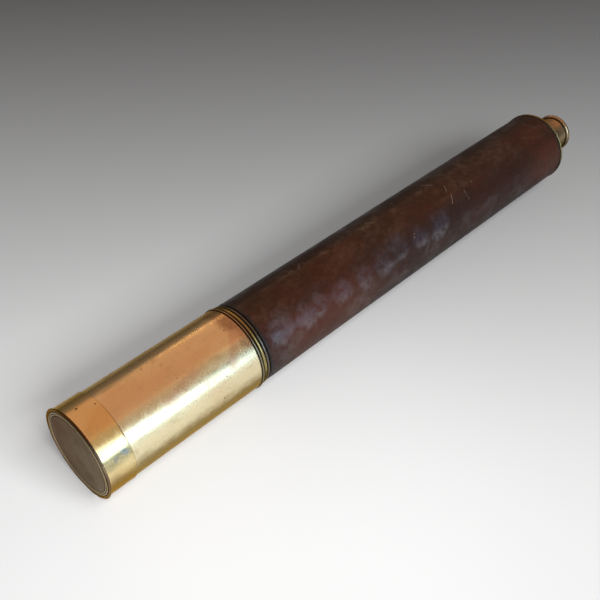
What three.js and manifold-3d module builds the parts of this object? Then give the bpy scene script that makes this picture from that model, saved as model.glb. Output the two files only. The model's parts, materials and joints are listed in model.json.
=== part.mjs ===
// Single-draw brass telescope with a leather-covered barrel, a sliding ray shade and a push-on lens cap.
// Millimetres, +Z up. The optical axis lies along +X, from the lens cap to the eyecup.
// The telescope lies on z = 0.
import * as THREE from "three";
import { mergeVertices } from "three/addons/utils/BufferGeometryUtils.js";
import Module from "manifold-3d";

const wasm = await Module();
wasm.setup();

// ---- driving dimensions. Stations are distances along the axis from the front face of the lens cap. ----
const LENGTH = 557.7; // cap face to eyecup rim, telescope closed
const SHADE_R = 32.5; // outside of the ray shade, which sets every other radius
const SHEET = 0.6; // wall of the drawn brass tubes
const FIT = 0.1; // gap between pieces that are screwed or soldered together
const SLIDE = 0.15; // gap between pieces that slide on each other
const OUTER_SIDES = 36; // flats round the casings
const INNER_SIDES = 24; // flats round the optics and small fittings

const CAP_RIM_R = SHADE_R + 1.7;
const CAP_LENGTH = 22.0;
const CAP_WALL = 0.5;
const LIP_R = SHADE_R + 0.7; // rolled lip at the back of the ray shade
const LEATHER_R = SHADE_R - 0.5;
const LEATHER_THICKNESS = 1.05;
const BARREL_R = LEATHER_R - LEATHER_THICKNESS - SLIDE;
const BARREL_BORE = BARREL_R - SHEET;
const FLANGE_R = LEATHER_R + 0.5;
const DRAW_R = 20.0;
const DRAW_BORE = DRAW_R - SHEET;
const EYECUP_RIM_R = 17.7;
const EYECUP_NECK_R = 15.4;
const EYEPIECE_R = 12.6;
const ERECTOR_R = 14.4;
const LENS_R = 27.6; // half the diameter of the object glass

const SHADE_FRONT = 2.7;
const CELL_FRONT = 16.0;
const BARREL_FRONT = 19.8;
const SHADE_BACK = 133.3;
const RING_FRONT = 133.7;
const LEATHER_FRONT = 140.5;
const LEATHER_BACK = 517.6;
const FLANGE_BACK = 519.7;
const BOSS_BACK = 524.0;
const DRAW_FRONT = 146.0;
const DRAW_BACK = 524.1;
const SLEEVE_FRONT = 470.0; // the draw's stop ring meets the guide sleeve here when it is pulled right out
const EYECUP_FRONT = 529.6;
const DISH_FLOOR = 551.0; // flat bottom of the eyecup's dish

const SHUTTER_PIVOT = 9.0; // pivot's height above the optical axis
const SHUTTER_DISC_R = 4.4;
const SHUTTER_THICKNESS = 0.7;
const SHUTTER_FRONT = DISH_FLOOR + 0.2;
const SHUTTER_BACK = SHUTTER_FRONT + SHUTTER_THICKNESS;
const PIVOT_SHANK_R = 0.9;

// ---- materials ----
const metal = (color, roughness, metalness = 1) =>
  new THREE.MeshStandardMaterial({ color, roughness, metalness });
const capBrass = metal(0xb08442, 0.32);
const shadeBrass = metal(0xc69a4e, 0.28);
const ringBrass = metal(0x9c8136, 0.4);
const drawBrass = metal(0xb98a4c, 0.3);
const blackBrass = metal(0x17140f, 0.8, 0.4);
const steel = metal(0x8f8c86, 0.35);
const leather = metal(0x3a1f14, 0.5, 0);
const felt = metal(0x14110f, 0.95, 0);
const glass = new THREE.MeshStandardMaterial({
  color: 0xdfe9e6,
  roughness: 0.03,
  transparent: true,
  opacity: 0.35,
});

const telescope = new THREE.Group();

function place(name, geometry, material) {
  const mesh = new THREE.Mesh(geometry, material);
  mesh.name = name;
  telescope.add(mesh);
  return mesh;
}

// ---- profiles: outlines of [station, radius] in the half plane above the optical axis ----

// Points on an arc of a circle centred at [station, radius].
// Angles are in degrees from +station towards +radius.
function arc(station, radius, size, from, to, steps) {
  const points = [];
  for (let i = 0; i <= steps; i++) {
    const a = THREE.MathUtils.degToRad(from + ((to - from) * i) / steps);
    points.push([station + size * Math.cos(a), radius + size * Math.sin(a)]);
  }
  return points;
}

// A plain ring or tube.
const tube = (front, back, bore, outside) => [
  [front, bore],
  [front, outside],
  [back, outside],
  [back, bore],
];

// A lens of edge radius r between stations front and back at its edge.
// Each bulge is the depth of that face, positive where it swells away from the lens.
function lensOutline(front, back, r, frontBulge, backBulge) {
  const steps = 3;
  const points = [];
  for (let i = 0; i <= steps; i++) {
    const h = (r * i) / steps;
    points.push([front - frontBulge * (1 - (h / r) ** 2), h]);
  }
  for (let i = steps; i >= 0; i--) {
    const h = (r * i) / steps;
    points.push([back + backBulge * (1 - (h / r) ** 2), h]);
  }
  return points;
}

const signedArea = (outline) =>
  outline.reduce((sum, [x, y], i) => {
    const [nextX, nextY] = outline[(i + 1) % outline.length];
    return sum + x * nextY - nextX * y;
  }, 0) / 2;

// Revolves an outline about the optical axis. Its flats, not its corners, lie at the stated radii.
function revolve(outline, sides) {
  const ordered = signedArea(outline) < 0 ? outline : [...outline].reverse();
  const toCorner = 1 / Math.cos(Math.PI / sides);
  const points = ordered.map(([s, r]) => new THREE.Vector2(r * toCorner, s));
  const touchesAxis = outline.some(([, r]) => r === 0);
  if (!touchesAxis) points.push(points[0].clone());
  if (touchesAxis) rotateToAxis(points);
  const geometry = new THREE.LatheGeometry(points, sides, Math.PI / sides);
  return geometry.rotateZ(-Math.PI / 2).translate(-LENGTH / 2, 0, CAP_RIM_R);
}

// A solid piece's outline has to start and end on the axis, whichever way round it was written.
function rotateToAxis(points) {
  const isSeam = () => points[0].x === 0 && points.at(-1).x === 0;
  while (!isSeam()) points.push(points.shift());
}

const turned = (name, material, outline, sides = OUTER_SIDES) =>
  place(name, revolve(outline, sides), material);

// ---- cutting, where a turned piece has a slot or a cross hole ----
function solidOf(geometry) {
  const bare = geometry.clone();
  bare.deleteAttribute("normal");
  bare.deleteAttribute("uv");
  const merged = mergeVertices(bare, 1e-3);
  return new wasm.Manifold(
    new wasm.Mesh({
      numProp: 3,
      vertProperties: new Float32Array(merged.attributes.position.array),
      triVerts: new Uint32Array(merged.index.array),
    }),
  );
}

function geometryOf(solid) {
  const mesh = solid.getMesh();
  const geometry = new THREE.BufferGeometry();
  geometry.setAttribute("position", new THREE.BufferAttribute(mesh.vertProperties, 3));
  geometry.setIndex(new THREE.BufferAttribute(mesh.triVerts, 1));
  geometry.computeVertexNormals();
  return geometry;
}

// A closed cylinder along the optical axis, centred [y, z] from it.
function rod(front, back, radius, [y, z], sides = 12) {
  const geometry = new THREE.CylinderGeometry(radius, radius, back - front, sides);
  return geometry
    .rotateZ(-Math.PI / 2)
    .translate((front + back - LENGTH) / 2, y, CAP_RIM_R + z);
}

// ---- lens cap: a skirt with a rolled rim, closed by a disc that is flush with the rim ----
const CAP_BORE = SHADE_R + 0.2;
const CAP_LEDGE_R = CAP_BORE - 0.7; // inside of the ledge that the disc is let into
turned("cap_shell", capBrass, [
  [0.4, CAP_LEDGE_R],
  [0, CAP_LEDGE_R + 0.5],
  [0, CAP_RIM_R - 0.6],
  [0.5, CAP_RIM_R],
  [1.3, CAP_RIM_R],
  [1.9, CAP_BORE + CAP_WALL],
  [CAP_LENGTH, CAP_BORE + CAP_WALL],
  [CAP_LENGTH, CAP_BORE],
  [2.3, CAP_BORE],
  [2.3, CAP_LEDGE_R],
]);
turned("cap_disc", capBrass, [
  [0, 0],
  [0, 29.2],
  [0.4, 29.6],
  [0.4, CAP_LEDGE_R - FIT],
  [1.6, CAP_LEDGE_R - FIT],
  [1.6, 0],
]);

// ---- ray shade ----
turned("shade_tube", shadeBrass, [
  [SHADE_FRONT, SHADE_R - SHEET],
  [SHADE_FRONT, SHADE_R - 0.2],
  [SHADE_FRONT + 0.3, SHADE_R],
  [SHADE_BACK - 1.8, SHADE_R],
  ...arc(SHADE_BACK - 0.8, LIP_R - 0.8, 0.8, 170, 0, 4),
  [SHADE_BACK, SHADE_R - SHEET],
]);
turned("shade_front_ring", shadeBrass, tube(SHADE_FRONT, 6.6, 30.3, SHADE_R - SHEET - FIT));
turned("shade_felt_liner", felt, tube(118, 129.5, BARREL_R + SLIDE, SHADE_R - SHEET - FIT));

// ---- barrel ----
turned("barrel_tube", shadeBrass, tube(BARREL_FRONT, LEATHER_BACK, BARREL_BORE, BARREL_R));
turned("leather_front_ring", ringBrass, [
  [RING_FRONT, BARREL_R + SLIDE],
  [RING_FRONT, LEATHER_R - 0.8],
  ...arc(RING_FRONT + 2.0, LEATHER_R - 0.9, 1.4, 160, 20, 5),
  ...arc(RING_FRONT + 5.0, LEATHER_R - 1.0, 1.3, 150, 30, 4),
  [LEATHER_FRONT - 0.3, LEATHER_R - 0.2],
  [LEATHER_FRONT - 0.3, BARREL_R + SLIDE],
]);
turned("leather_cover", leather, [
  [LEATHER_FRONT, BARREL_R + SLIDE],
  [LEATHER_FRONT, LEATHER_R - 0.4],
  [LEATHER_FRONT + 0.6, LEATHER_R],
  [LEATHER_BACK - 0.6, LEATHER_R],
  [LEATHER_BACK, LEATHER_R - 0.4],
  [LEATHER_BACK, BARREL_R + SLIDE],
]);
const SLEEVE_R = DRAW_R + SLIDE + 1.7;
const BOSS_R = 24.8;
const SPIGOT_FRONT = 509; // the flange's spigot reaches this far into the barrel
const SPIGOT_BORE = BARREL_BORE - 1.8;
const FLANGE_WEB = 516.2; // front of the flange's web, in front of which the spigot is hollow
turned("rear_flange", ringBrass, [
  [SPIGOT_FRONT, SPIGOT_BORE],
  [SPIGOT_FRONT, BARREL_BORE - FIT],
  [LEATHER_BACK + 0.3, BARREL_BORE - FIT],
  [LEATHER_BACK + 0.3, FLANGE_R - 0.3],
  [LEATHER_BACK + 0.7, FLANGE_R],
  [FLANGE_BACK - 0.4, FLANGE_R],
  [FLANGE_BACK, FLANGE_R - 0.4],
  [FLANGE_BACK, BOSS_R],
  [BOSS_BACK - 0.6, BOSS_R],
  [BOSS_BACK, BOSS_R - 0.6],
  [BOSS_BACK, SLEEVE_R + FIT],
  [FLANGE_WEB, SLEEVE_R + FIT],
  [FLANGE_WEB, SPIGOT_BORE],
]);

// The guide sleeve grips the draw: four slots turn its front end into springs.
const SLOT_LENGTH = 26;
const SLOT_WIDTH = 1.6;
let sleeve = solidOf(
  revolve(tube(SLEEVE_FRONT, BOSS_BACK - 0.3, DRAW_R + SLIDE, SLEEVE_R), OUTER_SIDES),
);
for (const quarterTurns of [0, 1]) {
  const slotPair = new THREE.BoxGeometry(SLOT_LENGTH + 2, SLOT_WIDTH, 3 * SLEEVE_R)
    .rotateX((quarterTurns * Math.PI) / 2)
    .translate(SLEEVE_FRONT - 1 + SLOT_LENGTH / 2 - LENGTH / 2, 0, CAP_RIM_R);
  sleeve = sleeve.subtract(solidOf(slotPair));
}
place("draw_guide_sleeve", geometryOf(sleeve), ringBrass);

// Blackened stops narrow with the cone of light behind the object glass.
turned("barrel_baffle_front", blackBrass, tube(85, 86.2, 24.4, BARREL_BORE - FIT));
turned("barrel_baffle_rear", blackBrass, tube(132, 133.2, 21.8, BARREL_BORE - FIT));

// ---- object glass: an air-spaced doublet in a screwed cell ----
const LENS_SEAT = LENS_R + 0.2;
const CLEAR_R = 26.4; // clear aperture
const CELL_RIM_R = 31.3; // the cell's rim, which stops against the barrel's front edge
const CROWN_EDGE = [19.0, 22.0];
const FLINT_EDGE = [22.35, 26.85];
turned("objective_cell", blackBrass, [
  [CELL_FRONT, CLEAR_R + 0.8],
  [CELL_FRONT, CELL_RIM_R - 0.4],
  [CELL_FRONT + 0.4, CELL_RIM_R],
  [BARREL_FRONT - 0.3, CELL_RIM_R],
  [BARREL_FRONT - 0.3, BARREL_BORE - FIT],
  [32.0, BARREL_BORE - FIT],
  [32.0, LENS_SEAT],
  [18.6, LENS_SEAT],
  [18.6, CLEAR_R],
  [17.6, CLEAR_R],
]);
turned("objective_crown_lens", glass, lensOutline(...CROWN_EDGE, LENS_R, 1.46, 1.66));
turned("objective_spacer", steel, tube(22.12, 22.3, 27.0, LENS_R));
turned("objective_flint_lens", glass, lensOutline(...FLINT_EDGE, LENS_R, -1.69, 0.4));
turned("objective_retaining_ring", blackBrass, tube(27.3, 30.3, CLEAR_R - 0.2, LENS_SEAT - FIT));

// ---- draw tube ----
turned("draw_tube", drawBrass, tube(DRAW_FRONT, DRAW_BACK, DRAW_BORE, DRAW_R));
const STOP_R = BARREL_BORE - 0.5;
const STOP_WEB = DRAW_FRONT + 1.5; // back of the thin web between the ring's two rims
const STOP_BACK = DRAW_FRONT + 6;
turned("draw_stop_ring", blackBrass, [
  [DRAW_FRONT, DRAW_R + FIT],
  [DRAW_FRONT, STOP_R],
  [STOP_BACK, STOP_R],
  [STOP_BACK, STOP_R - 1],
  [STOP_WEB, STOP_R - 1],
  [STOP_WEB, DRAW_R + 1.3],
  [STOP_BACK, DRAW_R + 1.3],
  [STOP_BACK, DRAW_R + FIT],
]);
const END_RING_FRONT = DRAW_BACK - 9; // its thread reaches this far into the draw tube
const END_RING_BORE = DRAW_BORE - 1.4;
const END_RING_R = DRAW_R + 1.6;
turned("draw_end_ring", drawBrass, [
  [END_RING_FRONT, END_RING_BORE],
  [END_RING_FRONT, DRAW_BORE - FIT],
  [DRAW_BACK + 0.2, DRAW_BORE - FIT],
  [DRAW_BACK + 0.2, END_RING_R - 0.4],
  [DRAW_BACK + 0.6, END_RING_R],
  [EYECUP_FRONT - 0.7, END_RING_R],
  [EYECUP_FRONT - 0.3, END_RING_R - 0.4],
  [EYECUP_FRONT - 0.3, EYEPIECE_R + 0.5],
  [DRAW_BACK + 1.4, EYEPIECE_R + 0.5],
  [DRAW_BACK + 1.4, END_RING_BORE],
]);

// ---- erecting lenses: a relay that turns the image upright, in its own tube inside the draw ----
const inner = (name, material, outline) => turned(name, material, outline, INNER_SIDES);
const ERECTOR_BORE = ERECTOR_R - SHEET;
const ERECTOR_LENS_R = ERECTOR_BORE - 0.3;
inner("erector_mount_ring", blackBrass, tube(149.5, 153.5, ERECTOR_R + FIT, DRAW_BORE - 0.25));
inner("erector_tube", drawBrass, tube(149, 232, ERECTOR_BORE, ERECTOR_R));
inner("erector_front_ring", blackBrass, tube(149.3, 150.6, 11.5, ERECTOR_BORE - FIT));
inner("erector_front_lens", glass, lensOutline(151, 153, ERECTOR_LENS_R, 0, 2));
inner("erector_diaphragm", blackBrass, tube(190, 190.8, 2.2, ERECTOR_BORE - FIT));
inner("erector_rear_lens", glass, lensOutline(227, 229, ERECTOR_LENS_R, 2, 0));
inner("erector_rear_ring", blackBrass, tube(229.4, 230.8, 11.5, ERECTOR_BORE - FIT));

// ---- eyepiece: field lens, field stop and eye lens ----
const EYEPIECE_BORE = EYEPIECE_R - 0.6;
inner("eyepiece_tube", drawBrass, tube(470, 547.3, EYEPIECE_BORE, EYEPIECE_R));
inner("field_lens_ring", blackBrass, tube(471, 472.6, 10.2, EYEPIECE_BORE - FIT));
inner("field_lens", glass, lensOutline(475.6, 477.4, EYEPIECE_BORE - 0.3, 2.4, 0));
inner("field_stop", blackBrass, tube(508, 508.8, 6.2, EYEPIECE_BORE - FIT));
inner("eye_lens", glass, lensOutline(542.6, 544.2, 7.8, 1.6, 0));
inner("eye_lens_cell", blackBrass, [
  [537, 8.0],
  [537, EYEPIECE_BORE - FIT],
  [546.8, EYEPIECE_BORE - FIT],
  [546.8, 6.5],
  [544.6, 6.5],
  [544.6, 8.0],
]);

// ---- eyecup: a neck that flares to a thin rim, dished for the eye and drilled for the shutter's pivot ----
const EYEHOLE_R = 3.0;
const EYECUP_FLARE = 2.8; // radius of the sweep from the neck out to the rim
const eyecup = solidOf(
  revolve(
    [
      [EYECUP_FRONT, EYEPIECE_R + 0.4],
      [EYECUP_FRONT, 17.5],
      [EYECUP_FRONT + 1.8, 17.5],
      [EYECUP_FRONT + 6.4, EYECUP_NECK_R],
      ...arc(LENGTH - 5.1, EYECUP_NECK_R + EYECUP_FLARE, EYECUP_FLARE, -90, -25, 3),
      [LENGTH - 2.1, EYECUP_RIM_R],
      [LENGTH - 0.6, EYECUP_RIM_R],
      [LENGTH, EYECUP_RIM_R - 0.6],
      [LENGTH, EYECUP_RIM_R - 1.2],
      [DISH_FLOOR + 2.6, 13.6],
      [DISH_FLOOR, 13.4],
      [DISH_FLOOR, EYEHOLE_R],
      [547.6, EYEHOLE_R],
      [547.6, EYEPIECE_R + 0.4],
    ],
    OUTER_SIDES,
  ),
);
const pivot = [0, SHUTTER_PIVOT];
const pivotHole = rod(548.6, DISH_FLOOR + 1, PIVOT_SHANK_R + 0.2, pivot);
place("eyecup", geometryOf(eyecup.subtract(solidOf(pivotHole))), drawBrass);

// A headed screw along the axis at the shutter's pivot, with a driver slot across its head.
function slottedScrew(name, tip, headFront, headBack) {
  const shank = solidOf(rod(tip, headFront + 0.1, PIVOT_SHANK_R, pivot));
  const head = solidOf(rod(headFront, headBack, 1.9, pivot));
  const slot = new THREE.BoxGeometry(0.6, 5, 0.5).translate(
    headBack - LENGTH / 2,
    pivot[0],
    CAP_RIM_R + pivot[1],
  );
  place(name, geometryOf(shank.add(head).subtract(solidOf(slot))), steel);
}

const SCREW_HEAD_FRONT = SHUTTER_BACK + 0.2;
slottedScrew("shutter_pivot_screw", DISH_FLOOR - 2.2, SCREW_HEAD_FRONT, SCREW_HEAD_FRONT + 0.8);

// ---- eyehole shutter: a pear-shaped plate that swings on the pivot screw ----
function shutterShape() {
  const bossR = 2.6;
  const lean = Math.asin((SHUTTER_DISC_R - bossR) / SHUTTER_PIVOT);
  const shape = new THREE.Shape();
  shape.absarc(0, SHUTTER_PIVOT, bossR, lean, Math.PI - lean, false);
  shape.absarc(0, 0, SHUTTER_DISC_R, Math.PI - lean, 2 * Math.PI + lean, false);
  shape.closePath();
  const hole = new THREE.Path();
  hole.absarc(0, SHUTTER_PIVOT, PIVOT_SHANK_R + 0.25, 0, 2 * Math.PI, true);
  shape.holes.push(hole);
  return shape;
}
const plate = new THREE.ExtrudeGeometry(shutterShape(), {
  depth: SHUTTER_THICKNESS,
  bevelEnabled: false,
  curveSegments: 12,
});
// The shape's x becomes +Y and its y becomes +Z, so the plate's thickness runs along +X.
plate
  .applyMatrix4(new THREE.Matrix4().set(0, 0, 1, 0, 1, 0, 0, 0, 0, 1, 0, 0, 0, 0, 0, 1))
  .translate(SHUTTER_FRONT - LENGTH / 2, 0, CAP_RIM_R);
place("eyehole_shutter", plate, drawBrass);
place(
  "shutter_knob",
  rod(SHUTTER_BACK + FIT, SHUTTER_BACK + 2.6, 1.3, [0, -0.4]),
  drawBrass,
);

export default telescope;
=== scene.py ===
"""A leather-covered brass telescope with one draw, closed and capped, lying on a pale floor.

Metres, in the frame's own axes: the optical axis runs along +X from the lens cap to the eyecup.
+Z is up.
Turned pieces are drawn as outlines in millimetres: (distance behind the cap's front face, radius).
"""
import json
import math
import random

import bpy
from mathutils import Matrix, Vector, noise


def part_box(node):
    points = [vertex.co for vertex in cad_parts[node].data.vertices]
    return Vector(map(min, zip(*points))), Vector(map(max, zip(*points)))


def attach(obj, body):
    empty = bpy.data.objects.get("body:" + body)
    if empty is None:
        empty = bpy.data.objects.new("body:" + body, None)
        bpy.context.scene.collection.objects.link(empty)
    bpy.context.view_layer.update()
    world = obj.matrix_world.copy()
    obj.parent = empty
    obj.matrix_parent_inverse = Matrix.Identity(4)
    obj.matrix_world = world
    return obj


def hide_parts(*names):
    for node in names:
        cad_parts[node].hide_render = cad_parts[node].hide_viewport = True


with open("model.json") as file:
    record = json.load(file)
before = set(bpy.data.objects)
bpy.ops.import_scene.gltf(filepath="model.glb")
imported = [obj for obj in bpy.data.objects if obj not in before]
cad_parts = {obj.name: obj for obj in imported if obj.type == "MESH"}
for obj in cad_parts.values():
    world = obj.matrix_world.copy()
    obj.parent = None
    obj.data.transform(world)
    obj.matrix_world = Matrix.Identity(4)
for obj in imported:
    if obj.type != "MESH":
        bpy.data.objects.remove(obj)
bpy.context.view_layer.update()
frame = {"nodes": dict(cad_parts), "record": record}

MM = 0.001
FACE_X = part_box("cap_disc")[0].x
AXIS_Z = (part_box("barrel_tube")[0].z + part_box("barrel_tube")[1].z) / 2


# ---- sizes read from the frame ----
def station(x):
    """Millimetres behind the cap's front face."""
    return (x - FACE_X) / MM


def front(node):
    return station(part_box(node)[0].x)


def back(node):
    return station(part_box(node)[1].x)


def radius(node):
    """Millimetres from the optical axis to the node's outermost flats."""
    return (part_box(node)[1].z - AXIS_Z) / MM


CAP_RIM_R = radius("cap_shell")
CAP_BACK = back("cap_shell")
CAP_SKIRT_R = CAP_RIM_R - 1
CAP_RIDGES = (29.6, 31.0)  # radii of the two raised rings round the cap's disc
CAP_GROOVES = (28.95, 30.3, 31.75)  # radii of the dirty grooves beside them
SHADE_LIP_R = radius("shade_tube")
SHADE_R = SHADE_LIP_R - 0.7
SHADE_FRONT = front("shade_tube")
SHADE_BACK = back("shade_tube")
SHEET = 0.6  # wall of the drawn tubes
COLLAR_FRONT = front("leather_front_ring")
LEATHER_R = radius("leather_cover")
LEATHER_FRONT = front("leather_cover")
LEATHER_BACK = back("leather_cover")
BARREL_R = radius("barrel_tube")
EYECUP_R = radius("eyecup")
EYECUP_FRONT = front("eyecup")
EYECUP_BACK = back("eyecup")
DISH_FLOOR = front("eyehole_shutter") - 0.2
CUP_PLATE = 3.4  # thickness of the plate across the eyecup, with the eyehole in it
EYEHOLE_R = 3.0
END_RING_R = radius("draw_end_ring")
MILLING_TEETH = 120
SLOTS = {part["node"]: part["material_slot"] for part in frame["record"]["subparts"]}


# ---- outlines ----
def arc(x, r, size, start, end, steps=8):
    """Points round a centre at (x, r), with angles in degrees from +x towards +r."""
    angles = [math.radians(start + (end - start) * i / steps) for i in range(steps + 1)]
    return [(x + size * math.cos(a), r + size * math.sin(a)) for a in angles]


def soften(outline, size=0.15, steps=3, closed=True):
    """The outline with its corners rounded off, as a polished edge is."""
    result = []
    count = len(outline)
    for i, point in enumerate(outline):
        corner = Vector(point)
        if not closed and i in (0, count - 1):
            result.append(point)
            continue
        to_last = Vector(outline[i - 1]) - corner
        to_next = Vector(outline[(i + 1) % count]) - corner
        turn = math.pi - to_last.angle(to_next)
        if turn < math.radians(25):
            result.append(point)
            continue
        reach = min(size, 0.4 * to_last.length, 0.4 * to_next.length)
        start = corner + to_last.normalized() * reach
        end = corner + to_next.normalized() * reach
        for k in range(steps + 1):
            t = k / steps
            on_curve = start * (1 - t) ** 2 + corner * (2 * t * (1 - t)) + end * t**2
            result.append(tuple(on_curve))
    return result


def cad_outline(node):
    """The outline of a CAD node turned about the optical axis, walked round one of its meridians."""
    mesh = frame["nodes"][node].data
    polar = []
    for vertex in mesh.vertices:
        y, z = vertex.co.y, vertex.co.z - AXIS_Z
        polar.append((round(station(vertex.co.x), 3), math.hypot(y, z) / MM, math.atan2(y, z)))
    outermost = max(r for _, r, _ in polar)
    corners = {round(a, 3) for _, r, a in polar if r > outermost - 0.01}
    flat = math.cos(math.pi / len(corners))
    meridian = min(corners, key=abs)

    def key(index):
        x, r, angle = polar[index]
        if r > 0.01 and abs(angle - meridian) > 0.01:
            return None
        return (x, round(r * flat, 2))

    links = {}
    for edge in mesh.edges:
        a, b = (key(index) for index in edge.vertices)
        if a is None or b is None or a == b or a[1] == b[1] == 0:
            continue
        links.setdefault(a, set()).add(b)
        links.setdefault(b, set()).add(a)
    start = min(links, key=lambda point: (point[1], point[0]))
    outline = [start]
    while True:
        onward = [point for point in sorted(links[outline[-1]]) if point not in outline]
        if not onward:
            return outline
        outline.append(onward[0])


# ---- meshes ----
SHARP_TURN = 35  # degrees between two faces from which their shared edge is drawn sharp
ON_AXIS = 1e-6  # a radius in millimetres below which a point counts as on the optical axis


def mesh_object(name, vertices, faces, material):
    mesh = bpy.data.meshes.new(name)
    mesh.from_pydata(vertices, [], faces)
    mesh.materials.append(material)
    mesh.shade_smooth()
    mesh.set_sharp_from_angle(angle=math.radians(SHARP_TURN))
    piece = bpy.data.objects.new(name, mesh)
    bpy.context.scene.collection.objects.link(piece)
    return piece


def refine_lengthwise(outline, pitch):
    """Splits the outline's long edges, so that the surface can be shaped between them."""
    result = []
    for a, b in zip(outline, outline[1:] + outline[:1]):
        pieces = max(1, round(math.dist(a, b) / pitch)) if math.dist(a, b) > 2 * pitch else 1
        for i in range(pieces):
            t = i / pieces
            result.append((a[0] + (b[0] - a[0]) * t, a[1] + (b[1] - a[1]) * t))
    return result


def signed_area(outline):
    pairs = zip(outline, outline[1:] + outline[:1])
    return sum(x0 * r1 - x1 * r0 for (x0, r0), (x1, r1) in pairs) / 2


def turned(name, outline, material, sides=160, shape=None):
    """A piece revolved about the optical axis. shape(x, angle, r) may change a point's radius."""
    if signed_area(outline) < 0:
        outline = outline[::-1]
    on_axis = [i for i, (_, r) in enumerate(outline) if r < ON_AXIS]
    if on_axis:
        split = next(i for i in on_axis if (i + 1) % len(outline) not in on_axis)
        outline = outline[split:] + outline[:split]
    vertices, rows = [], []
    for x, r in outline:
        if r < ON_AXIS:
            rows.append([len(vertices)] * sides)
            vertices.append((FACE_X + x * MM, 0, AXIS_Z))
            continue
        rows.append(range(len(vertices), len(vertices) + sides))
        for k in range(sides):
            angle = 2 * math.pi * k / sides
            local = shape(x, angle, r) if shape else r
            y, z = local * math.sin(angle), local * math.cos(angle)
            vertices.append((FACE_X + x * MM, y * MM, AXIS_Z + z * MM))
    faces = []
    joined = zip(rows, rows[1:]) if on_axis else zip(rows, rows[1:] + rows[:1])
    for low, high in joined:
        for k in range(sides):
            n = (k + 1) % sides
            corners = dict.fromkeys((low[k], high[k], high[n], low[n]))
            faces.append(tuple(corners))
    return mesh_object(name, vertices, faces, material)


def finish_piece(piece, body, slot, *nodes):
    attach(piece, body)
    if nodes:
        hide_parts(*nodes)


# ---- materials ----
class Graph:
    """One procedural material, built node by node."""

    def __init__(self, name):
        self.material = bpy.data.materials.new(name)
        self.material.use_nodes = True
        self.tree = self.material.node_tree
        self.shader = self.tree.nodes["Principled BSDF"]
        self.position = self.add("TexCoord").outputs["Object"]

    def add(self, kind, inputs=(), **settings):
        node = self.tree.nodes.new("ShaderNode" + kind)
        for name, value in settings.items():
            setattr(node, name, value)
        for name, value in dict(inputs).items():
            self.feed(node, name, value)
        return node

    def feed(self, node, name, value):
        if isinstance(value, bpy.types.NodeSocket):
            self.tree.links.new(value, node.inputs[name])
        else:
            node.inputs[name].default_value = value

    def set(self, **inputs):
        """Sets or links the main shader's sockets, named with _ for a space."""
        for name, value in inputs.items():
            self.feed(self.shader, name.replace("_", " "), value)

    def noise(self, size, stretch=(1, 1, 1), detail=3, roughness=0.5, distortion=0.0):
        """Noise with features about size millimetres across, drawn out along the axes by stretch."""
        scale = tuple(1 / (size * MM * s) for s in stretch)
        moved = self.add("Mapping", {"Vector": self.position, "Scale": scale})
        inputs = {
            "Vector": moved.outputs["Vector"],
            "Scale": 1.0,
            "Detail": detail,
            "Roughness": roughness,
            "Distortion": distortion,
        }
        return self.add("TexNoise", inputs).outputs["Fac"]

    def math(self, operation, a, b=0.0, clamp=False):
        node = self.add("Math", {0: a, 1: b}, operation=operation, use_clamp=clamp)
        return node.outputs["Value"]

    def span(self, value, low, high, out_low=0.0, out_high=1.0):
        """value from low to high, mapped to out_low to out_high."""
        inputs = {
            "Value": value,
            "From Min": low,
            "From Max": high,
            "To Min": out_low,
            "To Max": out_high,
        }
        return self.add("MapRange", inputs, interpolation_type="SMOOTHSTEP").outputs["Result"]

    def mix(self, amount, a, b):
        node = self.add("Mix", data_type="RGBA")
        self.feed(node, "Factor", amount)
        for name, value in (("A", a), ("B", b)):
            socket = next(s for s in node.inputs if s.name == name and s.type == "RGBA")
            if isinstance(value, bpy.types.NodeSocket):
                self.tree.links.new(value, socket)
            else:
                socket.default_value = (*value, 1)
        return next(s for s in node.outputs if s.type == "RGBA")

    def bump(self, height, distance, normal=None):
        """A bump of height times distance, in millimetres."""
        inputs = {"Height": height, "Distance": distance * MM, "Strength": 1.0}
        if normal:
            inputs["Normal"] = normal
        return self.add("Bump", inputs).outputs["Normal"]

    def axis_distance(self):
        """Millimetres behind the cap's face, and millimetres from the optical axis."""
        parts = self.add("SeparateXYZ", {"Vector": self.position}).outputs
        x = self.math("DIVIDE", self.math("SUBTRACT", parts["X"], FACE_X), MM)
        z = self.math("SUBTRACT", parts["Z"], AXIS_Z)
        square = self.math("ADD", self.math("POWER", parts["Y"], 2.0), self.math("POWER", z, 2.0))
        return x, self.math("DIVIDE", self.math("SQRT", square), MM)

    def largest(self, masks):
        result = masks[0]
        for mask in masks[1:]:
            result = self.math("MAXIMUM", result, mask)
        return result

    def lines(self, value, lines):
        """1 where value is within a line, each given as (middle, half of its width)."""
        masks = []
        for middle, half in lines:
            away = self.math("ABSOLUTE", self.math("SUBTRACT", value, middle))
            masks.append(self.span(away, 0.5 * half, 1.2 * half, 1.0, 0.0))
        return self.largest(masks)

    def spot(self, point, size):
        """1 at a point on the surface, 0 from size millimetres away."""
        away = self.add("VectorMath", {0: self.position, 1: point}, operation="DISTANCE")
        return self.span(away.outputs["Value"], 0.25 * size * MM, size * MM, 1.0, 0.0)

    def scratch(self, start, end, width):
        """1 on the straight line from start to end, 0 from width millimetres away."""
        along = end - start
        offset = self.add("VectorMath", {0: self.position, 1: start}, operation="SUBTRACT").outputs["Vector"]
        toward = {0: offset, 1: along / along.length_squared}
        part = self.add("VectorMath", toward, operation="DOT_PRODUCT").outputs["Value"]
        part = self.math("MULTIPLY", part, 1.0, clamp=True)
        nearest = self.add("VectorMath", {0: along, "Scale": part}, operation="SCALE").outputs["Vector"]
        away = self.add("VectorMath", {0: offset, 1: nearest}, operation="DISTANCE").outputs["Value"]
        return self.span(away, 0.3 * width * MM, width * MM, 1.0, 0.0)


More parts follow.
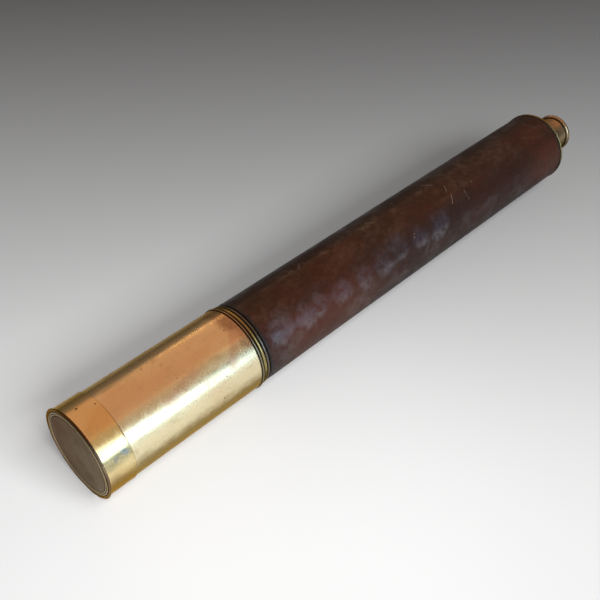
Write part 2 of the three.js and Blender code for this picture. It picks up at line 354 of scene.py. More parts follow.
def surface(x, degrees, r):
    """A point x millimetres behind the cap's face, at an angle from the top towards +Y, r from the axis."""
    angle = math.radians(degrees)
    return Vector((FACE_X + x * MM, r * MM * math.sin(angle), AXIS_Z + r * MM * math.cos(angle)))


def brass(name, clean, warm, stain, roughness, dark_lines=(), pits=(), smudges=(), rim=None, dull=None):
    """Old polished brass: soft warm patches, brown stains, wiping marks and black pits.

    Painted shade makes it darker underneath, and high on the +Y side.

    dark_lines lists grooves and gaps drawn near black, as (x, half width).
    pits lists black pits, as (x, degrees, r, size).
    smudges lists tarnish marks, as (start, end, width, colour) with start and end each (x, degrees, r); on
    the cap the first one is partly a painted reflection.
    In front of rim, a station, the brass is brown, with painted light making it lighter and greyer on its -Y
    side.
    dull gives a station and the colour of the brass behind it.
    """
    g = Graph(name)
    patches = g.span(g.noise(34, (1.8, 1, 1), detail=2, distortion=0.5), 0.4, 0.6)
    streaks = g.noise(2.2, (16, 1, 1), detail=3)
    blotches = g.noise(7, (1.6, 1, 1), detail=5, roughness=0.62)
    wiped = g.noise(3.0, (1, 3.5, 3.5), detail=4, roughness=0.6, distortion=0.6)
    color = g.mix(g.math("MULTIPLY", patches, 0.8), clean, warm)
    color = g.mix(g.span(streaks, 0.45, 0.8, 0, 0.3), color, warm)
    color = g.mix(g.span(blotches, 0.54, 0.76, 0, 0.5), color, stain)
    color = g.mix(g.span(wiped, 0.6, 0.8, 0, 0.35), color, stain)
    place = g.add("SeparateXYZ", {"Vector": g.position}).outputs
    # Painted shade: the colour darkens underneath and high on the +Y side, where the reflections fall dark.
    height = g.math("ADD", place["Z"], g.span(blotches, 0.3, 0.7, -2 * MM, 2 * MM))
    under = g.span(height, AXIS_Z + 7 * MM, AXIS_Z - 6 * MM)
    high = g.span(height, AXIS_Z, AXIS_Z + 12 * MM)
    behind = g.math("MULTIPLY", g.span(place["Y"], 3 * MM, 15 * MM), high)
    painted_shade = g.math("MAXIMUM", under, g.math("MULTIPLY", behind, 0.6))
    color = g.mix(painted_shade, color, tuple(0.62 * c for c in stain))
    x, _ = g.axis_distance()
    if rim:
        # Painted light: the rim's brown is lighter and greyer on its -Y side.
        brown = g.mix(g.span(place["Y"], -12 * MM, -29 * MM), (0.1, 0.055, 0.03), (0.18, 0.13, 0.095))
        color = g.mix(g.span(x, rim, rim - 0.5), color, brown)
    if dull:
        color = g.mix(g.span(x, dull[0] - 0.1, dull[0] + 0.1), color, dull[1])
    for start, end, width, tint in smudges:
        mark = g.scratch(surface(*start), surface(*end), width)
        mark = g.math("MULTIPLY", mark, g.span(g.noise(1.8, detail=5, roughness=0.7), 0.36, 0.6, 0.55, 1.0))
        color = g.mix(mark, color, tint)
    specks = g.span(g.noise(0.9, detail=1), 0.76, 0.79)
    black = g.math("MULTIPLY", specks, g.span(g.noise(17, detail=2), 0.52, 0.6))
    if pits:
        spots = [g.spot(surface(*pit[:3]), pit[3]) for pit in pits]
        black = g.math("MAXIMUM", black, g.largest(spots))
    hollow = black
    if dark_lines:
        darkened_lines = g.math("MULTIPLY", g.lines(x, dark_lines), g.span(g.noise(1.2, detail=3), 0.25, 0.5, 0.75, 1.0))
        black = g.math("MAXIMUM", black, darkened_lines)
    color = g.mix(black, color, tuple(0.07 * c for c in stain))
    rough = g.span(blotches, 0.3, 0.75, roughness * 0.85, roughness * 1.45)
    rough = g.math("ADD", rough, g.span(wiped, 0.45, 0.8, 0, 0.1))
    rough = g.math("ADD", rough, g.math("MULTIPLY", black, 0.35), clamp=True)
    normal = g.bump(g.noise(0.25, (1, 50, 50), detail=2), 0.002)
    normal = g.bump(g.noise(0.5, detail=3), 0.002, normal=normal)
    normal = g.bump(wiped, 0.02, normal=normal)
    normal = g.bump(g.math("SUBTRACT", 1.0, hollow), 0.06, normal=normal)
    g.set(Base_Color=color, Roughness=rough, Normal=normal, Metallic=1.0)
    g.set(Specular_Tint=(0.78, 0.58, 0.34, 1))
    return g.material


def cap_face(name):
    """The cap's disc: dull brown brass with polished ridges and dirty grooves, and painted shade that makes
    it browner and darker towards +Y, greyer towards -Y.
    """
    g = Graph(name)
    brown, grey, ridge_gold = (0.1, 0.05, 0.021), (0.16, 0.125, 0.078), (0.56, 0.46, 0.28)
    side = g.add("SeparateXYZ", {"Vector": g.position}).outputs["Y"]
    clouds = g.noise(16, detail=5, roughness=0.6)
    # Painted shade: browner and darker towards +Y, greyer towards -Y.
    color = g.mix(g.span(side, 0.8 * CAP_RIM_R * MM, -0.8 * CAP_RIM_R * MM), brown, grey)
    color = g.mix(g.span(clouds, 0.35, 0.7, 0, 0.4), color, brown)
    color = g.mix(g.span(g.noise(2.2, detail=5), 0.5, 0.8, 0, 0.5), color, (0.05, 0.031, 0.019))
    _, r = g.axis_distance()
    ridges = g.lines(r, [(middle, 0.3) for middle in CAP_RIDGES])
    color = g.mix(g.math("MULTIPLY", ridges, 0.85), color, ridge_gold)
    grooves = g.lines(r, [(middle, 0.36) for middle in CAP_GROOVES])
    color = g.mix(grooves, color, (0.02, 0.014, 0.01))
    rough = g.math("SUBTRACT", g.span(clouds, 0.3, 0.7, 0.4, 0.52), g.math("MULTIPLY", ridges, 0.15))
    scratches = g.noise(0.8, (1, 14, 1), detail=3, distortion=0.8)
    normal = g.bump(scratches, 0.006)
    g.set(Base_Color=color, Roughness=rough, Normal=normal, Metallic=1.0)
    g.set(Specular_Tint=(0.84, 0.77, 0.68, 1))
    return g.material


# ---- small marks, scattered by chance ----
MARKS = random.Random(7)  # seeded, so that every run gives the same marks


def scattered(count, front, back, low, high, smallest, largest):
    """Chance places for small marks: (x, degrees, size)."""
    places = []
    for _ in range(count):
        x = MARKS.uniform(front, back)
        degrees = MARKS.uniform(low, high)
        places.append((x, degrees, MARKS.uniform(smallest, largest)))
    return places


def scratches(count):
    """Chance scratches, mostly across the leather: both ends as (x, degrees), and the width."""
    lines = []
    for x, degrees, width in scattered(count, LEATHER_FRONT + 40, LEATHER_BACK - 25, -175, 160, 0.28, 0.4):
        end = (x + MARKS.uniform(-6, 6), degrees + MARKS.uniform(9, 20))
        lines.append(((x, degrees), end, width))
    return lines


def gripped(count):
    """Places in a row along the side that hands grip: (x, degrees, size)."""
    start, pitch, side = LEATHER_FRONT + 14, 23, -54
    places = []
    for step in range(count):
        x = start + pitch * step + MARKS.uniform(-5, 5)
        degrees = side + MARKS.uniform(-5, 5)
        places.append((x, degrees, MARKS.uniform(14, 21)))
    return places


def shade_pits(count):
    """Chance pits in the shade's brass: (x, degrees, r, size)."""
    places = scattered(count, 40, SHADE_BACK - 12, -180, 180, 0.5, 1.1)
    return [(x, degrees, SHADE_R, size) for x, degrees, size in places]


SCRATCHES = scratches(16)
NICKS = scattered(12, LEATHER_FRONT + 30, LEATHER_BACK - 20, -180, 180, 0.7, 1.0)  # small and pale
HANDLED = gripped(9)  # polished by hands
SHADE_PITS = shade_pits(14)


# ---- more materials ----
# Stations from which and to which the leather's tone along its low side comes in.
RED_FROM_MIDDLE = (285, 215)
RED_FROM_COLLAR = (146, 172)
RED_AT_BACK = (468, 492)
DEEP_FROM_FRONT = (260, 310)
DEEP_FROM_BACK = (475, 445)


def leather(name):
    """Dark red-brown waxed hide: cloudy colour, patches polished by hands, scratches and two black edges.
    Painted shade darkens it underneath and on its +Y side, and the polished patches carry a blue film that
    is wax bloom and painted sheen.
    """
    g = Graph(name)
    olive, red, deep = (0.02, 0.0078, 0.0042), (0.029, 0.0076, 0.0036), (0.0095, 0.0037, 0.0026)
    clouds = g.noise(42, (1.5, 1, 1), detail=4, roughness=0.55, distortion=0.4)
    mottle = g.noise(7, (1.3, 1, 1), detail=6, roughness=0.65)
    fine = g.noise(1.6, (2.2, 1, 1), detail=5, roughness=0.68)
    color = g.mix(g.span(clouds, 0.36, 0.62), olive, red)
    color = g.mix(g.span(mottle, 0.45, 0.75, 0, 0.45), color, deep)
    color = g.mix(g.span(fine, 0.47, 0.7, 0, 0.4), color, deep)
    color = g.mix(g.span(fine, 0.5, 0.28, 0, 0.08), color, (0.06, 0.024, 0.015))
    place = g.add("SeparateXYZ", {"Vector": g.position}).outputs
    # Painted shade: darker underneath and on the +Y side.
    color = g.mix(g.span(place["Z"], AXIS_Z + 2 * MM, AXIS_Z - 16 * MM, 0, 0.8), color, deep)
    color = g.mix(g.span(place["Y"], 0.0, 0.2 * LEATHER_R * MM, 0, 0.7), color, deep)
    along, _ = g.axis_distance()
    low = g.span(place["Y"], -0.6 * LEATHER_R * MM, -0.82 * LEATHER_R * MM)
    toward_front = g.math("MULTIPLY", g.span(along, *RED_FROM_MIDDLE), g.span(along, *RED_FROM_COLLAR))
    ends = g.math("MAXIMUM", toward_front, g.span(along, *RED_AT_BACK, 0, 0.6))
    color = g.mix(g.math("MULTIPLY", g.math("MULTIPLY", low, ends), 0.5), color, (0.062, 0.0145, 0.0055))
    middle = g.math("MULTIPLY", g.span(along, *DEEP_FROM_FRONT), g.span(along, *DEEP_FROM_BACK))
    color = g.mix(g.math("MULTIPLY", g.math("MULTIPLY", low, middle), 0.5), color, deep)

    scuffs = g.span(g.noise(0.55, (1, 7, 7), detail=3, roughness=0.6, distortion=1.0), 0.68, 0.75)
    scuffs = g.math("MULTIPLY", scuffs, g.span(g.noise(21, detail=3), 0.54, 0.62))
    marks = []
    for start, end, width in SCRATCHES:
        marks.append(g.scratch(surface(*start, LEATHER_R), surface(*end, LEATHER_R), width))
    for x, degrees, size in NICKS:
        marks.append(g.spot(surface(x, degrees, LEATHER_R), size))
    broken = g.span(g.noise(0.9, detail=2), 0.35, 0.55, 0.35, 1.0)
    scratched = g.math("MULTIPLY", g.largest(marks), broken)
    scratched = g.math("MAXIMUM", scratched, g.math("MULTIPLY", scuffs, 0.5))
    color = g.mix(g.math("MULTIPLY", scratched, 0.6), color, (0.22, 0.16, 0.13))
    pits = g.span(g.noise(1.3, detail=1), 0.75, 0.8)
    color = g.mix(g.math("MULTIPLY", pits, 0.6), color, (0.008, 0.004, 0.004))

    ragged = g.math("ADD", along, g.span(g.noise(5, detail=3), 0.3, 0.7, -0.7, 0.7))
    near_front = g.span(ragged, LEATHER_FRONT + 0.4, LEATHER_FRONT + 3.8, 1.0, 0.0)
    near_back = g.span(ragged, LEATHER_BACK - 2.6, LEATHER_BACK - 1.2)
    edge = g.math("MAXIMUM", near_front, near_back)
    color = g.mix(g.math("MULTIPLY", edge, 0.9), color, (0.007, 0.0068, 0.0075))

    patches = g.span(g.noise(19, (1.4, 1, 1), detail=3, roughness=0.55), 0.45, 0.66, 0.12, 0.45)
    handled_and_sheen = g.largest([g.spot(surface(x, degrees, LEATHER_R), size) for x, degrees, size in HANDLED])
    uneven_edge = g.span(g.noise(10, (1.8, 1, 1), detail=3, roughness=0.5), 0.25, 0.75, -0.45, 0.3)
    handled_and_sheen = g.span(g.math("ADD", handled_and_sheen, uneven_edge), 0.0, 1.15)
    rubbed = g.span(g.noise(5, detail=6, roughness=0.62), 0.32, 0.62, 0.22, 1.0)
    # A blue film on the polished patches: wax bloom, and painted sheen for the window's bluish reflection.
    color = g.mix(g.math("MULTIPLY", g.math("MULTIPLY", handled_and_sheen, rubbed), 0.09), color, (0.025, 0.05, 0.12))
    polished = g.math("MULTIPLY", g.math("MAXIMUM", patches, handled_and_sheen), rubbed)
    polished = g.math("MULTIPLY", polished, g.span(place["Z"], AXIS_Z - 14 * MM, AXIS_Z + 4 * MM))
    rough = g.span(mottle, 0.3, 0.75, 0.46, 0.6)
    rough = g.math("ADD", rough, g.math("MULTIPLY", scratched, 0.2), clamp=True)
    grain = g.add("TexVoronoi", {"Vector": g.position, "Scale": 1 / (0.8 * MM), "Randomness": 1.0})
    grain.feature = "DISTANCE_TO_EDGE"
    cells = g.span(grain.outputs["Distance"], 0.0, 0.16)
    normal = g.bump(g.noise(3.2, (1.5, 1, 1), detail=7, roughness=0.66), 0.2)
    normal = g.bump(cells, 0.025, normal=normal)
    normal = g.bump(g.math("SUBTRACT", 1.0, g.math("MAXIMUM", pits, scratched)), 0.06, normal=normal)
    g.set(Base_Color=color, Roughness=rough, Normal=normal, Specular_IOR_Level=0.16)
    g.set(Coat_Weight=polished, Coat_Roughness=0.25, Coat_IOR=1.85)
    return g.material


def lacquer(name):
    """Matt black lacquer, worn a little to brown brass."""
    g = Graph(name)
    wear = g.span(g.noise(2.4, detail=5, roughness=0.7), 0.62, 0.78, 0, 0.7)
    color = g.mix(wear, (0.012, 0.011, 0.01), (0.12, 0.08, 0.035))
    dust = g.noise(0.35, detail=2)
    g.set(Base_Color=color, Roughness=g.span(dust, 0.3, 0.7, 0.5, 0.75))
    g.set(Metallic=0.25, Normal=g.bump(dust, 0.01))
    return g.material


def steel(name):
    g = Graph(name)
    rust = g.span(g.noise(0.8, detail=4), 0.5, 0.75, 0, 0.5)
    color = g.mix(rust, (0.42, 0.41, 0.39), (0.12, 0.07, 0.045))
    g.set(Base_Color=color, Metallic=1.0)
    g.set(Roughness=g.span(rust, 0, 0.5, 0.28, 0.6), Normal=g.bump(g.noise(0.2, (1, 8, 8)), 0.004))
    return g.material


def felt(name):
    g = Graph(name)
    fibres = g.noise(0.4, (1, 3, 3), detail=4, roughness=0.7)
    color = g.mix(fibres, (0.01, 0.009, 0.009), (0.04, 0.036, 0.034))
    g.set(Base_Color=color, Roughness=0.95, Normal=g.bump(fibres, 0.15))
    g.set(Sheen_Weight=0.4, Sheen_Roughness=0.5)
    return g.material


def thread(name):
    g = Graph(name)
    twist = g.noise(0.25, detail=3)
    color = g.mix(twist, (0.045, 0.026, 0.015), (0.16, 0.1, 0.06))
    g.set(Base_Color=color, Roughness=0.7, Normal=g.bump(twist, 0.05))
    return g.material


def glass(name):
    """Clear optical glass with a faint film of dust."""
    g = Graph(name)
    dust = g.noise(2.5, detail=6, roughness=0.7)
    color = g.mix(g.span(dust, 0.5, 0.8, 0, 0.15), (0.96, 0.98, 0.97), (0.8, 0.8, 0.76))
    g.set(Base_Color=color)
    g.set(Roughness=g.span(dust, 0.45, 0.8, 0.01, 0.08))
    g.set(Transmission_Weight=1.0, IOR=1.52)
    return g.material


SHADE_SMUDGES = [
    ((SHADE_BACK - 5, -38, SHADE_R), (SHADE_BACK - 5, -6, SHADE_R), 8.0, (0.47, 0.32, 0.2)),
    ((SHADE_BACK - 5, -6, SHADE_R), (SHADE_BACK - 6, 30, SHADE_R), 11.0, (0.4, 0.28, 0.17)),
    ((SHADE_BACK - 22, -52, SHADE_R), (SHADE_BACK - 9, -24, SHADE_R), 5.5, (0.7, 0.5, 0.32)),
    ((58.0, -46, SHADE_R), (84.0, -36, SHADE_R), 5.0, (0.72, 0.52, 0.33)),
    ((70.0, 118, SHADE_R), (96.0, 132, SHADE_R), 6.0, (0.62, 0.45, 0.28)),
]
CAP_PITS = [(9.0, 8, CAP_SKIRT_R, 1.2), (19.6, -1, CAP_SKIRT_R, 0.8), (13.0, 120, CAP_SKIRT_R, 1.0)]
CAP_SMUDGES_AND_REFLECTION = [
    # The first band is tarnish and also a painted dark reflection just below the window's highlight.
    ((5.5, -68, CAP_SKIRT_R), (21.5, -64, CAP_SKIRT_R), 7.5, (0.42, 0.37, 0.2)),
    ((16.6, -64, CAP_SKIRT_R), (18.4, -66, CAP_SKIRT_R), 3.0, (0.33, 0.36, 0.34)),
    ((9.5, -68, CAP_SKIRT_R), (11.0, -66, CAP_SKIRT_R), 2.4, (0.33, 0.33, 0.26)),
    ((12.0, 165, CAP_SKIRT_R), (16.0, 176, CAP_SKIRT_R), 5.0, (0.25, 0.26, 0.22)),
]
CAP_BRASS = brass(
    "cap_brass",
    (0.84, 0.7, 0.38),
    (0.78, 0.57, 0.25),
    (0.5, 0.34, 0.14),
    0.2,
    pits=CAP_PITS,
    smudges=CAP_SMUDGES_AND_REFLECTION,
    rim=1.9,
)
SHADE_BRASS = brass(
    "shade_brass",
    (0.84, 0.74, 0.47),
    (0.78, 0.62, 0.38),
    (0.5, 0.39, 0.2),
    0.23,
    dark_lines=[(CAP_BACK + 0.1, 0.3), (SHADE_BACK - 1.9, 0.6)],
    pits=SHADE_PITS,
    smudges=SHADE_SMUDGES,
    dull=(SHADE_BACK - 1.8, (0.26, 0.235, 0.165)),
)
RING_BRASS = brass(
    "ring_brass",
    (0.4, 0.32, 0.14),
    (0.28, 0.22, 0.09),
    (0.12, 0.095, 0.045),
    0.26,
    dark_lines=[(COLLAR_FRONT + 0.2, 0.7), (COLLAR_FRONT + 3.6, 0.55), (COLLAR_FRONT + 6.45, 0.45)],
    dull=(COLLAR_FRONT + 3.6, (0.15, 0.135, 0.11)),
)
FLANGE_BRASS = brass("flange_brass", (0.36, 0.3, 0.15), (0.27, 0.22, 0.1), (0.12, 0.1, 0.05), 0.42)
DRAW_BRASS = brass(
    "draw_brass",
    (0.57, 0.44, 0.27),
    (0.49, 0.35, 0.2),
    (0.3, 0.21, 0.12),
    0.27,
    # The second line, in the fillet before the eyecup's rim, is painted shade for the dark reflection in
    # that hollow.
    dark_lines=[(EYECUP_FRONT + 3.4, 0.3), (EYECUP_BACK - 4.35, 0.6)],
)
MATERIALS = {
    "cap_brass": CAP_BRASS,
    "shade_brass": SHADE_BRASS,
    "ring_brass": RING_BRASS,
    "draw_brass": DRAW_BRASS,
    "black_brass": lacquer("black_brass"),
    "steel": steel("steel"),
    "leather": leather("leather"),
    "felt": felt("felt"),
    "glass": glass("glass"),
}


# ---- lens cap ----
def uneven(size, depth):
    """A gentle unevenness of old sheet metal: waves size millimetres long and depth millimetres deep."""

    def shape(x, angle, r):
        place = Vector((x, r * math.sin(angle), r * math.cos(angle))) / size
        return r + depth * noise.noise(place)

    return shape


def lens_cap():
    bore = CAP_RIM_R - 1.5
    skirt = bore + 0.5
    ledge = bore - 0.7
    shell = [
        (2.3, ledge),
        *arc(0.75, ledge + 0.35, 0.35, 270, 180, 4),
        (0.42, ledge + 0.6),
        *arc(0.62, CAP_RIM_R - 0.6, 0.6, 200, -20, 18),
        (1.5, CAP_RIM_R - 0.75),
        (1.75, skirt),
        *arc(CAP_BACK - 0.2, skirt - 0.2, 0.2, 90, 0, 4),
        (CAP_BACK, bore + 0.05),
        (CAP_BACK - 0.4, bore),
        (2.3, bore),
    ]
    shell = refine_lengthwise(shell, 1.0)
    piece = turned("cap_shell_fine", shell, CAP_BRASS, 192, uneven(12, 0.025))
    finish_piece(piece, "lens_cap", "cap_brass", "cap_shell")

    edge = ledge - 0.1
    disc = [(0, 0), (0, 9), (0, 18), (0, CAP_GROOVES[0] - 0.4)]
    for ridge, groove in zip(CAP_RIDGES, CAP_GROOVES):
        disc += [(0.5, groove - 0.12), (0.5, groove + 0.12)]
        disc += arc(0.42, ridge, 0.4, 200, 160, 6)
    disc += [(0.5, CAP_GROOVES[-1] - 0.1), (0.5, edge), (1.6, edge), (1.6, 0)]
    piece = turned("cap_disc_fine", disc, cap_face("cap_face"), 192)
    finish_piece(piece, "lens_cap", "cap_brass", "cap_disc")


# ---- ray shade ----
# Small dints in the shade, as (x, degrees, width, depth): some by chance, and one under each pit.
random.seed(12)
DINTS = [
    (random.uniform(28, 124), random.uniform(0, 360), random.uniform(1.0, 2.6), random.uniform(0.004, 0.018))
    for _ in range(60)
]
DINTS += [(x, degrees, 0.7 * size, 0.12) for x, degrees, _, size in SHADE_PITS]


def dents(x, angle, r):
    """Old knocks in the shade tube: shallow waves and a few small dints."""
    place = Vector((x / 1.6, r * math.sin(angle), r * math.cos(angle)))
    result = r + 0.03 * noise.noise(place / 22) + 0.0035 * noise.noise(place / 3.5)
    for dent_x, dent_angle, width, depth in DINTS:
        across = r * math.remainder(angle - math.radians(dent_angle), 2 * math.pi)
        distance = math.hypot(x - dent_x, across) / width
        if distance < 3:
            result -= depth * math.exp(-distance * distance)
    return result


def ray_shade():
    bore = SHADE_R - SHEET
    groove = SHADE_BACK - 1.85
    outline = [
        (SHADE_FRONT, bore + 0.1),
        *arc(SHADE_FRONT + 0.2, SHADE_R - 0.2, 0.2, 180, 90, 3),
        (groove - 0.4, SHADE_R),
        (groove - 0.2, SHADE_R - 0.3),
        (groove + 0.2, SHADE_R - 0.3),
        *arc(SHADE_BACK - 0.8, SHADE_LIP_R - 0.75, 0.75, 190, -20, 16),
        (SHADE_BACK - 0.1, bore + 0.2),
        (SHADE_BACK - 0.4, bore),
        (SHADE_FRONT + 0.2, bore),
    ]
    outline = refine_lengthwise(outline, 1.0)
    piece = turned("shade_tube_fine", outline, SHADE_BRASS, 256, dents)
    finish_piece(piece, "ray_shade", "shade_brass", "shade_tube")


# ---- barrel ----
def barrel():
    outline = soften(cad_outline("barrel_tube"), 0.15)
    piece = turned("barrel_tube_fine", refine_lengthwise(outline, 6), SHADE_BRASS, 192)
    finish_piece(piece, "barrel", "shade_brass", "barrel_tube")

    bore = BARREL_R + 0.15
    x = COLLAR_FRONT
    beads = [
        (x, bore),
        (x, LEATHER_R - 1.1),
        *arc(x + 2.0, LEATHER_R - 0.9, 1.4, 172, 8, 18),
        (x + 3.45, LEATHER_R - 1.15),
        (x + 3.65, LEATHER_R - 1.15),
        *arc(x + 4.9, LEATHER_R - 1.0, 1.15, 172, 8, 14),
        (x + 6.15, LEATHER_R - 1.0),
        (x + 6.5, LEATHER_R - 1.0),
        (x + 6.5, bore),
    ]
    piece = turned("leather_front_ring_fine", beads, RING_BRASS, 192)
    finish_piece(piece, "barrel", "ring_brass", "leather_front_ring")

    outline = soften(cad_outline("rear_flange"), 0.2)
    piece = turned("rear_flange_fine", outline, FLANGE_BRASS, 192)
    finish_piece(piece, "barrel", "ring_brass", "rear_flange")


SEAM_ANGLE = math.radians(128)  # the leather's seam, low on the +Y side


def hide(x, angle, r):
    """The leather's surface: a hand-finished skin, pulled in at its stitched seam."""
    if r < LEATHER_R - 0.6:
        return r
    place = Vector((x / 1.5, r * math.sin(angle), r * math.cos(angle)))
    wave = 0.11 * noise.noise(place / 19) + 0.05 * noise.noise(place / 5) + 0.02 * noise.noise(place / 1.9)
    from_seam = r * math.remainder(angle - SEAM_ANGLE, 2 * math.pi)
    groove = 0.42 * math.exp(-((from_seam / 0.55) ** 2))
    welt = 0.1 * math.exp(-(((abs(from_seam) - 2.6) / 1.5) ** 2))
    return r - 0.12 + wave - groove + welt


def leather_cover():
    bore = BARREL_R + 0.15
    outline = [
        (LEATHER_FRONT, bore),
        *arc(LEATHER_FRONT + 0.6, LEATHER_R - 0.6, 0.6, 180, 90, 4),
        (LEATHER_FRONT + 1.4, LEATHER_R),
        *arc(LEATHER_BACK - 0.6, LEATHER_R - 0.6, 0.6, 90, 0, 4),
        (LEATHER_BACK, bore),
    ]
    outline = refine_lengthwise(outline, 1.15)
    piece = turned("leather_cover_fine", outline, MATERIALS["leather"], 288, hide)
    finish_piece(piece, "barrel", "leather", "leather_cover")
    stitches()


def stitches():
    """Slanting stitches that lace the two edges of the leather together."""
    pitch, reach, lean, size = 4.2, 1.5, 0.8, 0.26
    sides, steps = 6, 6
    margin = 4
    vertices, faces = [], []
    count = int((LEATHER_BACK - LEATHER_FRONT - 2 * margin) / pitch)
    for i in range(count):
        x = LEATHER_FRONT + margin + pitch * (i + 0.5)
        base = len(vertices)
        for k in range(steps + 1):
            t = 2 * k / steps - 1
            angle = SEAM_ANGLE + reach * t / LEATHER_R
            along = x + lean * t
            lift = LEATHER_R - 0.02 - 0.45 * t**4
            for j in range(sides):
                turn = 2 * math.pi * j / sides
                r = lift + size * math.cos(turn) * 0.7
                step = size * math.sin(turn)
                y, z = r * math.sin(angle), r * math.cos(angle)
                vertices.append((FACE_X + (along + step) * MM, y * MM, AXIS_Z + z * MM))
        for k in range(steps):
            for j in range(sides):
                n = (j + 1) % sides
                low, high = base + k * sides, base + (k + 1) * sides
                faces.append((low + j, low + n, high + n, high + j))
        faces.append(tuple(base + j for j in range(sides))[::-1])
        faces.append(tuple(base + steps * sides + j for j in range(sides)))
    piece = mesh_object("leather_stitches", vertices, faces, thread("thread"))
    finish_piece(piece, "barrel", "leather")


# ---- eye end ----
def eye_end():
    neck, bore = 15.7, 13.0
    cup = [
        (EYECUP_FRONT, bore),
        *arc(EYECUP_FRONT + 0.3, 17.2, 0.3, 180, 90, 3),
        *arc(EYECUP_FRONT + 1.6, 17.3, 0.2, 90, 20, 3),
        (EYECUP_FRONT + 3.2, neck + 0.6),
        *arc(EYECUP_FRONT + 6.2, neck + 3.0, 3.0, 240, 270, 4),
        *arc(EYECUP_BACK - 4.6, neck + 0.5, 0.5, 270, 350, 5),
        *arc(EYECUP_BACK - 2.3, EYECUP_R - 1.4, 1.4, 165, 90, 10),
        *arc(EYECUP_BACK - 1.3, EYECUP_R - 1.3, 1.3, 90, 20, 8),
        *arc(EYECUP_BACK - 0.6, EYECUP_R - 2.1, 0.6, 0, -60, 4),
        (DISH_FLOOR + 2.6, 13.65),
        (DISH_FLOOR + 0.9, 13.5),
        (DISH_FLOOR + 0.25, 13.25),
        (DISH_FLOOR, 12.4),
        (DISH_FLOOR, EYEHOLE_R + 0.3),
        (DISH_FLOOR - 0.3, EYEHOLE_R),
        (DISH_FLOOR - CUP_PLATE, EYEHOLE_R),
        (DISH_FLOOR - CUP_PLATE, bore),
    ]
    piece = turned("eyecup_fine", cup, DRAW_BRASS, 160, uneven(10, 0.02))
    finish_piece(piece, "draw", "draw_brass", "eyecup")


def milled(x, angle, r):
    """Fine milling round the end ring's edge, for a grip when it is unscrewed."""
    depth = 0.13 if r > END_RING_R - 0.3 else 0
    return r - depth * abs(math.sin(MILLING_TEETH * angle / 2))


# ---- every other turned piece keeps its CAD outline, with more sides and softer edges ----
ROUND_PIECES = {
    "ray_shade": ["shade_front_ring", "shade_felt_liner"],
    "barrel": [
        "barrel_baffle_front",
        "barrel_baffle_rear",
        "objective_cell",
        "objective_crown_lens",
        "objective_spacer",
        "objective_flint_lens",
        "objective_retaining_ring",
    ],
    "draw": [
        "draw_tube",
        "draw_stop_ring",
        "draw_end_ring",
        "erector_mount_ring",
        "erector_tube",
        "erector_front_ring",
        "erector_front_lens",
        "erector_diaphragm",
        "erector_rear_lens",
        "erector_rear_ring",
        "eyepiece_tube",
        "field_lens_ring",
        "field_lens",
        "field_stop",
        "eye_lens",
        "eye_lens_cell",
    ],
}


PLAIN_PIECES = ("draw_guide_sleeve", "shutter_pivot_screw", "eyehole_shutter", "shutter_knob")


def round_pieces():
    for body, nodes in ROUND_PIECES.items():
        for node in nodes:
            slot = SLOTS[node]
            outline = cad_outline(node)
            closed = all(r > 0 for _, r in outline)
            outline = soften(outline, 0.12, closed=closed)
            if node == "draw_end_ring":
                piece = turned(node + "_fine", outline, MATERIALS[slot], 8 * MILLING_TEETH, milled)
            else:
                piece = turned(node + "_fine", outline, MATERIALS[slot], 128)
            finish_piece(piece, body, slot, node)


def plain_pieces():
    """CAD nodes whose own shape is kept get their material."""
    for node in PLAIN_PIECES:
        mesh = frame["nodes"][node].data
        mesh.materials.clear()
        mesh.materials.append(MATERIALS[SLOTS[node]])


# ---- stage ----
CAMERA_FROM_CAP = Vector((-0.1404, -0.3377, 0.4320))
CAMERA_ELEVATION = 41.69
CAMERA_HEADING = -45.37
LENS = 50.84
PAINTED_POOL = (-0.2, -0.08)  # the middle of the painted pool of light on the floor
PAINTED_POOL_SIZE = 0.22
OUTSIDE_PAINTED_POOL = 0.86  # how light the floor is outside the painted pool of light, beside the middle
PAPER = 0.98  # how light the paper is where it is nearest
PAINTED_FADE_START = 0.37  # metres ahead of the camera at which the painted fall-off of light starts to darken the floor
PAINTED_FADE_SOFTNESS = 0.012  # how gently it starts, in square metres
PAINTED_FADE_RATE = -2.5  # how fast the painted fall-off darkens it, per metre
DARKEST = 0.12


def camera():
    data = bpy.data.cameras.new("camera")
    data.lens = LENS
    data.sensor_width = 36
    data.clip_start = 0.01
    eye = bpy.data.objects.new("camera", data)
    eye.location = Vector((FACE_X, 0, AXIS_Z)) + CAMERA_FROM_CAP
    eye.rotation_euler = (math.radians(90 - CAMERA_ELEVATION), 0, math.radians(CAMERA_HEADING))
    bpy.context.scene.collection.objects.link(eye)
    bpy.context.scene.camera = eye
    return eye


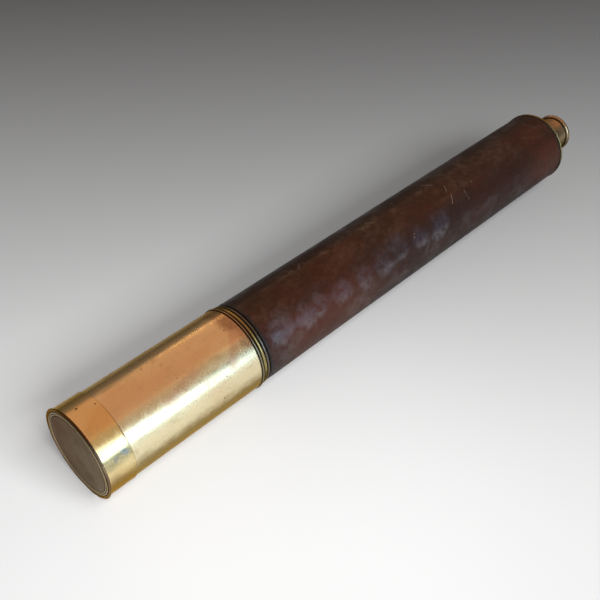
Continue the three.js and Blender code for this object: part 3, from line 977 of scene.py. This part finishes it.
def floor(eye):
    """A pale sheet of paper with painted light: it darkens with distance from the front of the set as
    painted fall-off of light, and is brightest in one painted pool of light.
    """
    size = 4.0
    corners = [(-size, -size, 0), (size, -size, 0), (size, size, 0), (-size, size, 0)]
    g = Graph("paper")
    heading = math.radians(CAMERA_HEADING)
    parts = g.add("SeparateXYZ", {"Vector": g.position}).outputs
    ahead_x = g.math("MULTIPLY", g.math("SUBTRACT", parts["X"], eye.location.x), -math.sin(heading))
    ahead_y = g.math("MULTIPLY", g.math("SUBTRACT", parts["Y"], eye.location.y), math.cos(heading))
    ahead = g.math("ADD", ahead_x, ahead_y)
    # Painted fall-off of light: the paper darkens with distance ahead of the camera.
    beyond = g.math("SUBTRACT", ahead, PAINTED_FADE_START)
    bend = g.math("SQRT", g.math("ADD", g.math("MULTIPLY", beyond, beyond), PAINTED_FADE_SOFTNESS))
    distance = g.math("MULTIPLY", g.math("ADD", beyond, bend), 0.5)
    shade = g.math("MULTIPLY", g.math("EXPONENT", g.math("MULTIPLY", distance, PAINTED_FADE_RATE)), PAPER)
    # A painted pool of light on the paper.
    aside_x = g.math("SUBTRACT", parts["X"], PAINTED_POOL[0])
    aside_y = g.math("SUBTRACT", parts["Y"], PAINTED_POOL[1])
    aside = g.math("ADD", g.math("MULTIPLY", aside_x, aside_x), g.math("MULTIPLY", aside_y, aside_y))
    pool = g.math("EXPONENT", g.math("MULTIPLY", aside, -1 / PAINTED_POOL_SIZE**2))
    shade = g.math("MULTIPLY", shade, g.span(pool, 0, 1, OUTSIDE_PAINTED_POOL, 1))
    shade = g.math("MAXIMUM", shade, DARKEST)
    tone = g.add("CombineColor", {"Red": shade, "Green": shade, "Blue": shade}).outputs["Color"]
    g.set(Base_Color=tone, Roughness=0.8, Specular_IOR_Level=0.2)
    sheet = mesh_object("floor", corners, [(0, 1, 2, 3)], g.material)


def light(name, place, aim, size, radiance, color, seen_by):
    """A rectangular lamp at place, facing aim. seen_by says if it shows in gloss or lights matt surfaces."""
    data = bpy.data.lights.new(name, "AREA")
    data.shape = "RECTANGLE"
    data.size, data.size_y = size
    data.energy = radiance * math.pi * size[0] * size[1]
    data.color = color
    lamp = bpy.data.objects.new(name, data)
    lamp.location = place
    lamp.rotation_euler = (Vector(aim) - Vector(place)).to_track_quat("-Z", "Y").to_euler()
    lamp.visible_diffuse = seen_by == "matt"
    lamp.visible_glossy = seen_by == "gloss"
    bpy.context.scene.collection.objects.link(lamp)


def lights():
    centre = (0, 0, AXIS_Z)
    daylight = (0.6, 0.79, 1.0)
    lamplight = (1.0, 0.46, 0.21)
    white = (1, 1, 1)
    light("window", (0.275, -1.425, 0.52), (1.009, -0.746, 0.52), (1.84, 0.74), 4.4, daylight, "gloss")
    light("wall", (0.2, -1.6, 1.75), centre, (3.0, 1.3), 0.42, (1.0, 0.72, 0.46), "gloss")
    light("back", (0.3, 2.6, 0.7), centre, (7.0, 1.5), 0.1, (1.0, 0.56, 0.28), "gloss")
    light("ceiling", (0.4, 0.9, 1.5), (0.4, 0.9, 0), (3.4, 3.4), 0.52, lamplight, "gloss")
    light("lamp", (0.75, 1.0, 0.78), (-0.1, 0, AXIS_Z), (0.9, 0.07), 2.4, (1.0, 0.6, 0.3), "gloss")
    light("key", (-0.7, -5.0, 3.35), centre, (6.0, 1.9), 10.5, white, "matt")
    light("sky", (-0.3, -3.2, 4.9), centre, (4.8, 2.0), 6.2, white, "matt")
    world = bpy.data.worlds.new("room")
    world.use_nodes = True
    world.node_tree.nodes["Background"].inputs["Color"].default_value = (0.105, 0.105, 0.105, 1)
    bpy.context.scene.world = world


lens_cap()
ray_shade()
barrel()
leather_cover()
eye_end()
round_pieces()
plain_pieces()
eye = camera()
floor(eye)
lights()
bpy.context.scene.view_settings.view_transform = "Standard"
